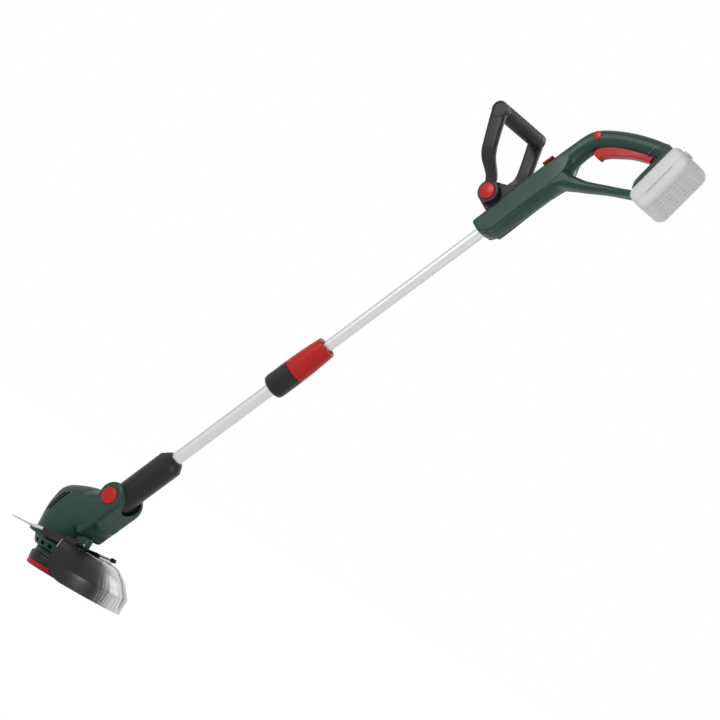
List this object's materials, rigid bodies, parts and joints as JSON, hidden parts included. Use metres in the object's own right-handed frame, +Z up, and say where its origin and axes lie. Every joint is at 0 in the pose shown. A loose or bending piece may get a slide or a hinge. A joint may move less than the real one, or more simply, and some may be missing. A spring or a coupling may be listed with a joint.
{
  "type": "cordless string trimmer",
  "caption": "Battery string trimmer: telescopic tube, D-shaped rear grip with trigger, tilting second handle, tilting cutting head with smoked guard, wire plant guard and spool.",
  "frame": {"origin": "centre of the flat underside of the spool cap, which rests on the ground", "axes": "+Z up along the spool axis, +X from the cutting head towards the user, +Y to the user's right"},
  "size_m": [0.8354, 0.2336, 1.1178],
  "materials": {
    "green_housing": "satin",
    "red_control": "soft gloss",
    "black_plastic": "satin",
    "soft_grip": "matt",
    "smoked_guard": "clear gloss",
    "satin_tube": "satin",
    "bright_steel": "bright",
    "contact_brass": "bright",
    "pale_battery": "satin",
    "line_nylon": "smooth"
  },
  "bodies": {
    "handle": {"handle_shell_left": "green_housing", "handle_shell_right": "green_housing", "handle_screw_1": "bright_steel", "handle_screw_2": "bright_steel", "handle_screw_3": "bright_steel", "handle_screw_4": "bright_steel", "upper_tube": "satin_tube", "trigger_switch": "black_plastic", "battery_tongue": "black_plastic", "contact_blade_1": "contact_brass", "contact_blade_2": "contact_brass", "front_handle_pin": "bright_steel"},
    "lower_shaft": {"lower_tube": "satin_tube", "clamp_base": "black_plastic", "clamp_collet": "black_plastic", "tube_adapter": "black_plastic", "tilt_pin": "bright_steel", "adapter_pin": "bright_steel"},
    "clamp_collar": {"clamp_collar": "red_control"},
    "head": {"head_shell_left": "green_housing", "head_shell_right": "green_housing", "head_screw_1": "bright_steel", "head_screw_2": "bright_steel", "head_screw_3": "bright_steel", "motor_can": "bright_steel", "lower_bearing": "bright_steel", "upper_bearing": "bright_steel", "guard_mount": "black_plastic", "guard_shield": "smoked_guard", "guard_screw_1": "bright_steel", "guard_screw_2": "bright_steel", "line_cutter": "bright_steel", "tilt_cap": "green_housing"},
    "tilt_button": {"tilt_button": "red_control"},
    "cutter": {"armature": "bright_steel", "cooling_fan": "black_plastic", "drive_hub": "bright_steel", "spool_housing": "black_plastic", "spool": "black_plastic", "line_coil": "line_nylon", "spool_spring": "bright_steel", "spool_cap": "red_control", "line_eyelet": "bright_steel"},
    "plant_guard": {"plant_guard_wire": "bright_steel", "wire_ferrule_1": "satin_tube", "wire_ferrule_2": "satin_tube", "wire_end_stop_1": "black_plastic", "wire_end_stop_2": "black_plastic"},
    "front_handle": {"front_handle_frame": "black_plastic", "front_handle_grip": "soft_grip"},
    "front_handle_button": {"front_handle_button": "red_control"},
    "trigger": {"trigger": "red_control"},
    "lock_off_button": {"lock_off_button": "red_control"},
    "mode_slider": {"mode_slider": "red_control"},
    "battery": {"battery_base": "pale_battery", "battery_case": "pale_battery", "battery_cells": "bright_steel"},
    "battery_release": {"battery_release": "pale_battery"}
  },
  "joints": [
    {"name": "telescope", "type": "slide", "parent": "handle", "child": "lower_shaft", "axis": [0.4627, 0, 0.8865], "range_m": [0, 0.23]},
    {"name": "collar_twist", "type": "hinge", "parent": "lower_shaft", "child": "clamp_collar", "pos_m": [0.22583, 0, 0.50107], "axis": [0.4627, 0, 0.8865], "range_deg": [0, 60]},
    {"name": "head_tilt", "type": "hinge", "parent": "lower_shaft", "child": "head", "pos_m": [0.052, 0, 0.168], "axis": [0, 1, 0], "range_deg": [-40, 27]},
    {"name": "tilt_button_press", "type": "slide", "parent": "head", "child": "tilt_button", "axis": [0, 1, 0], "range_m": [0, 0.0018], "stiffness_N_per_m": 500, "springref_m": -0.003},
    {"name": "cutter_spin", "type": "hinge", "parent": "head", "child": "cutter", "pos_m": [0, 0, 0], "axis": [0, 0, 1], "continuous": true},
    {"name": "plant_guard_slide", "type": "slide", "parent": "head", "child": "plant_guard", "axis": [-0.9903, 0, -0.1386], "range_m": [0, 0.0285]},
    {"name": "second_handle_tilt", "type": "hinge", "parent": "handle", "child": "front_handle", "pos_m": [0.40137, 0, 0.91516], "axis": [0, 1, 0], "range_deg": [-30, 40]},
    {"name": "second_handle_button_press", "type": "slide", "parent": "front_handle", "child": "front_handle_button", "axis": [0, 1, 0], "range_m": [0, 0.003], "stiffness_N_per_m": 500, "springref_m": -0.003},
    {"name": "trigger_pull", "type": "hinge", "parent": "handle", "child": "trigger", "pos_m": [0.63, 0, 1.09], "axis": [0, 1, 0], "range_deg": [0, 5.5], "stiffness_Nm_per_rad": 0.6, "springref_deg": -3.44},
    {"name": "lock_off_press", "type": "slide", "parent": "handle", "child": "lock_off_button", "axis": [0, 1, 0], "range_m": [0, 0.002], "stiffness_N_per_m": 400, "springref_m": -0.003},
    {"name": "slider_shift", "type": "slide", "parent": "handle", "child": "mode_slider", "axis": [0.4627, 0, 0.8865], "range_m": [0, 0.006]},
    {"name": "battery_slide", "type": "slide", "parent": "handle", "child": "battery", "axis": [0.3007, 0, 0.9537], "range_m": [0, 0.1]},
    {"name": "release_press", "type": "slide", "parent": "battery", "child": "battery_release", "axis": [-0.3007, 0, -0.9537], "range_m": [0, 0.003], "stiffness_N_per_m": 400, "springref_m": -0.003}
  ]
}
